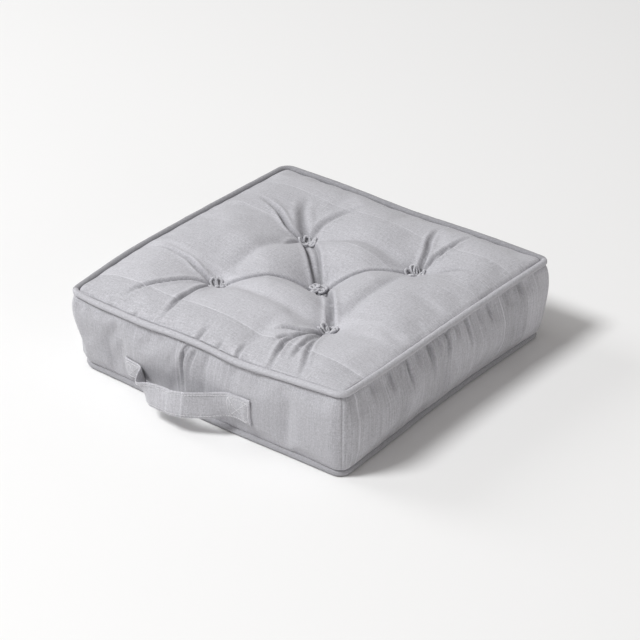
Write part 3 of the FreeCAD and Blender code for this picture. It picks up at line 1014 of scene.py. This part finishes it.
def knot_object(name, place, seed):
    """The knot under the base, with two short tails."""
    rng = np.random.default_rng(seed)
    centre = np.array([place.x, place.y, FLOOR_Z + 4.4 * MM])
    ball = coil(centre, 22, 2.4, 2.4 * MM, -2.0 * MM, 2.0 * MM)
    parts = [yarn(curve_through(ball, 90), KNOT_YARN)]
    for heading in (rng.uniform(0, 3), rng.uniform(3.2, 6)):
        out, side = level_directions(heading)
        bend = side * rng.uniform(-2, 2) * MM
        tail = [centre, centre + out * 4 * MM, centre + out * 8 * MM + bend]
        tail[2][2] = tail[1][2] = FLOOR_Z + 2 * KNOT_YARN
        parts.append(yarn(curve_through(tail, 24), 1.05 * MM))
    return mesh_object(name, *joined(parts), yarn_material)


for seed, (name, place) in enumerate(TUFTS.items()):
    bow = bow_object("bow_" + name, place, 40 + seed)
    knot = knot_object("knot_" + name, place, 60 + seed)
    sewn_in(bow, "tuft_yarn", "tuft_bow_" + name)
    sewn_in(knot, "tuft_yarn", "tuft_knot_" + name)
    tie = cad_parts["tuft_tie_" + name]
    tie.data.materials.clear()
    tie.data.materials.append(yarn_material)


# ---- handle ----
left_low, left_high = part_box("handle_end_left")
right_low, right_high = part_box("handle_end_right")
STRAP_Z = (left_low.z + left_high.z) / 2
STRAP_WIDTH = left_high.z - left_low.z
STRAP_SPREAD = 7 * MM  # how much wider the strap is at its right end
LEFT_DROP, RIGHT_RISE = 4.5 * MM, 8.0 * MM  # the strap isn't sewn on quite level
STRAP_HALF_THICKNESS = 1.4 * MM
LEFT_END = (left_low.x + 5 * MM, left_high.x + 3 * MM)
RIGHT_END = (right_low.x + 4 * MM, right_high.x + 9 * MM)

front_places = side_grids[0].reshape(-1, 3)


def front_surface(x, z):
    """How far out, along -Y, the front panel lies at some x and z."""
    x, z = np.broadcast_arrays(x, z)
    found = np.zeros(x.shape)
    for index in np.ndindex(x.shape):
        gap = (front_places[:, 0] - x[index]) ** 2 + (front_places[:, 2] - z[index]) ** 2
        nearest = np.argpartition(gap, 6)[:6]
        weight = 1 / (gap[nearest] + 1e-9)
        found[index] = -(front_places[nearest, 1] * weight).sum() / weight.sum()
    return found


def strap_grid(stations=240, across=29):
    """The strap's middle surface, station by station, and how far along it each station is."""
    # place along X and how far the strap stands off the panel there, in mm
    left, right = LEFT_END[1] / MM, RIGHT_END[0] / MM
    plan = [
        (LEFT_END[0] / MM, 0), (left - 14, 0), (left - 2, 0.3), (left + 5, 6), (left + 14, 17),
        (left + 30, 27), (left + 54, 31), (left + 82, 28), (left + 107, 15), (right - 8, 4),
        (right + 1, 0.4), (right + 12, 0), (RIGHT_END[1] / MM, 0),
    ]
    line = curve_through(plan, 900) * MM
    run = run_along(line)
    even = np.linspace(0, run[-1], stations)
    x = np.interp(even, run, line[:, 0])[:, None]
    off = np.interp(even, run, line[:, 1])[:, None]
    w = np.linspace(-1, 1, across)[None]
    share = smooth(even / run[-1])[:, None]
    level = STRAP_Z - LEFT_DROP + (LEFT_DROP + RIGHT_RISE) * share
    # the left leg twists: its lower edge turns in towards the panel
    twist = 0.95 * np.exp(-(((x - LEFT_END[1] - 15 * MM) / (15 * MM)) ** 2))
    lean = np.where(x > 0, 0.1, 0.14)
    angle = (twist - lean) * smooth(off / (10 * MM))
    half = (STRAP_WIDTH + STRAP_SPREAD * share) / 2
    z = level + w * half * np.cos(angle) - 1 * MM * smooth(off / (12 * MM))
    touching = front_surface(x, z) + STRAP_HALF_THICKNESS + 0.5 * MM
    free = front_surface(x, level) + STRAP_HALF_THICKNESS + off + w * half * np.sin(angle)
    loose = smooth(off / (8 * MM))
    out = touching * (1 - loose) + np.maximum(free, touching) * loose + (1 - loose) * off
    return np.stack(np.broadcast_arrays(x, -out, z), -1), even


STITCH_SHARE = 0.78  # how far out the topstitch runs, as a share of half the strap's width
CLOTH_SHIFT = 23 * MM  # of the strap's woven lines along it


def strap_object():
    """The strap: one folded strip with a groove where each topstitch pulls it in."""
    grid, run = strap_grid()
    stations, across = grid.shape[:2]
    normal = grid_normals(grid)
    if normal[stations // 2, across // 2, 1] > 0:
        normal = -normal
    w = np.linspace(-1, 1, across)
    thick = (1 - np.abs(w) ** 6) ** 0.5
    groove = 0.4 * np.exp(-(((np.abs(w) - STITCH_SHARE) / 0.05) ** 2))
    offset = (STRAP_HALF_THICKNESS * np.maximum(thick - groove, 0.12))[None, :, None]
    front = grid + normal * offset
    back = grid - normal * offset
    loop = np.concatenate([front, back[:, ::-1]], axis=1)
    around = loop.shape[1]
    faces = grid_faces(stations, around, around=True)
    for k in range(across - 1):
        low = [k, k + 1, around - 2 - k, around - 1 - k]
        faces.append(low)
        faces.append([(stations - 1) * around + q for q in low[::-1]])
    thing = mesh_object("handle_strap", loop, faces, handle_cloth)
    places = np.zeros((stations, around, 3))
    places[..., 0] = (run - run[-1] / 2 - CLOTH_SHIFT)[:, None]
    places[..., 1] = np.concatenate([w, w[::-1]]) * STRAP_WIDTH / 2
    store(thing, places, np.ones((stations, around)))
    return thing, grid, normal, run


strap, strap_middle, strap_normal, strap_run = strap_object()
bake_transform(strap)
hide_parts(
    "handle_loop", "handle_leg_left", "handle_leg_right", "handle_end_left", "handle_end_right"
)


def stitch(a, b, normal, radius=0.36 * MM):
    """One visible stitch: a short thread that dips into the cloth at both ends."""
    steps = np.linspace(0, 1, 7)[:, None]
    path = a + (b - a) * steps + normal * (np.sin(steps * math.pi) * 0.35 - 0.12) * MM
    return tube(path, radius, 6)


def strap_place(run, w, out=STRAP_HALF_THICKNESS):
    """A point on the strap's outer face and the normal there; w is the share across."""
    i = np.interp(run, strap_run, np.arange(len(strap_run)))
    i0, j0 = int(i), round((w + 1) / 2 * (strap_middle.shape[1] - 1))
    i1 = min(i0 + 1, len(strap_run) - 1)
    place = strap_middle[i0, j0] * (1 - (i - i0)) + strap_middle[i1, j0] * (i - i0)
    normal = strap_normal[i0, j0]
    return place + normal * out, normal


def stitch_row(spots, length=2.6 * MM, gap=0.9 * MM):
    """Stitches along a row of (run, w) spots on the strap."""
    spots = np.array(spots)
    parts = []
    for low, step in zip(spots[:-1], np.diff(spots, axis=0)):
        distance = math.hypot(step[0], step[1] * STRAP_WIDTH / 2)
        count = max(1, int(distance / (length + gap)))
        for k in range(count):
            a, normal = strap_place(*(low + step * ((k + 0.12) / count)))
            b, _ = strap_place(*(low + step * ((k + 0.88) / count)))
            parts.append(stitch(a, b, normal))
    return parts


edge_rows = []
for w in (-STITCH_SHARE, STITCH_SHARE):
    stops = np.linspace(6 * MM, strap_run[-1] - 6 * MM, 60)
    edge_rows += stitch_row([(run, w) for run in stops])
topstitch = mesh_object("handle_topstitch", *joined(edge_rows), thread_material)
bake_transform(topstitch)

BOX_MARGIN = 3.5 * MM  # from the edge of a sewn end to its square of stitches
BOX_SHARE = 0.72  # half the square's height, as a share of half the strap's width
right_start = strap_run[-1] - (RIGHT_END[1] - RIGHT_END[0])
for name, low, high in (
    ("left", BOX_MARGIN, LEFT_END[1] - LEFT_END[0] - BOX_MARGIN),
    ("right", right_start + BOX_MARGIN, strap_run[-1] - BOX_MARGIN),
):
    a, b, c, d = (low, -BOX_SHARE), (high, -BOX_SHARE), (high, BOX_SHARE), (low, BOX_SHARE)
    rows = stitch_row([a, b, c, d, a]) + stitch_row([a, c]) + stitch_row([d, b])
    box = mesh_object("handle_box_stitch_" + name, *joined(rows), thread_material)
    sewn_in(box, "stitch_thread", "handle_stitching_" + name)


# ---- floor, light and camera ----
def floor_material():
    n = Nodes("floor")
    place = n.add("TexCoord").outputs["Object"]
    grain = n.noise(place, (2.0, 2.0, 2.0), detail=3)
    n.paint((0.875, 0.872, 0.868), n.add_up(1.0, (grain, 0.004)))
    return n.finish(Roughness=1.0, Specular_IOR_Level=0.0)


reach = 12.0
corners = [(x, y, FLOOR_Z) for x, y in ((-reach, -reach), (reach, -reach), (reach, reach), (-reach, reach))]
floor = mesh_object("floor", corners, [[0, 1, 2, 3]], floor_material())

world = bpy.data.worlds.new("studio")
world.use_nodes = True
background = world.node_tree.nodes["Background"]
background.inputs["Color"].default_value = (1.0, 0.97, 0.955, 1)
background.inputs["Strength"].default_value = 0.3
bpy.context.scene.world = world


def aim(thing, azimuth, elevation, distance, target=(0, 0, 0)):
    """Puts a light or camera where it faces a target; azimuth turns from -Y towards X."""
    a, e = math.radians(azimuth), math.radians(elevation)
    back = Vector((math.sin(a) * math.cos(e), -math.cos(a) * math.cos(e), math.sin(e)))
    thing.location = Vector(target) + back * distance
    thing.rotation_mode = "QUATERNION"
    thing.rotation_quaternion = back.to_track_quat("Z", "Y")
    bpy.context.scene.collection.objects.link(thing)


LIGHT_DISTANCE = 6.0
# Soft round lamps: azimuth, elevation, diameter, watts and colour.
for name, azimuth, elevation, size, power, colour in (
    ("key", -30, 55, 1.7, 268, (0.985, 0.995, 1.0)),
    ("side", -80, 32, 2.8, 92, (0.985, 0.995, 1.0)),
    ("fill", 75, 15, 3.0, 34, (1.0, 0.985, 0.97)),
):
    data = bpy.data.lights.new(name, "AREA")
    data.shape = "DISK"
    data.size = size
    data.energy = power
    data.color = colour
    aim(bpy.data.objects.new(name, data), azimuth, elevation, LIGHT_DISTANCE)

# The photo's camera, found from the corners of the piping.
camera_data = bpy.data.cameras.new("camera")
camera_data.lens = 148.1
camera_data.sensor_width = 36
camera = bpy.data.objects.new("camera", camera_data)
aim(camera, 38.09, 30.36, distance=3.1486, target=Vector((10.1, 2.4, 44.0)) * MM)
bpy.context.scene.camera = camera
bpy.context.scene.view_settings.view_transform = "Standard"
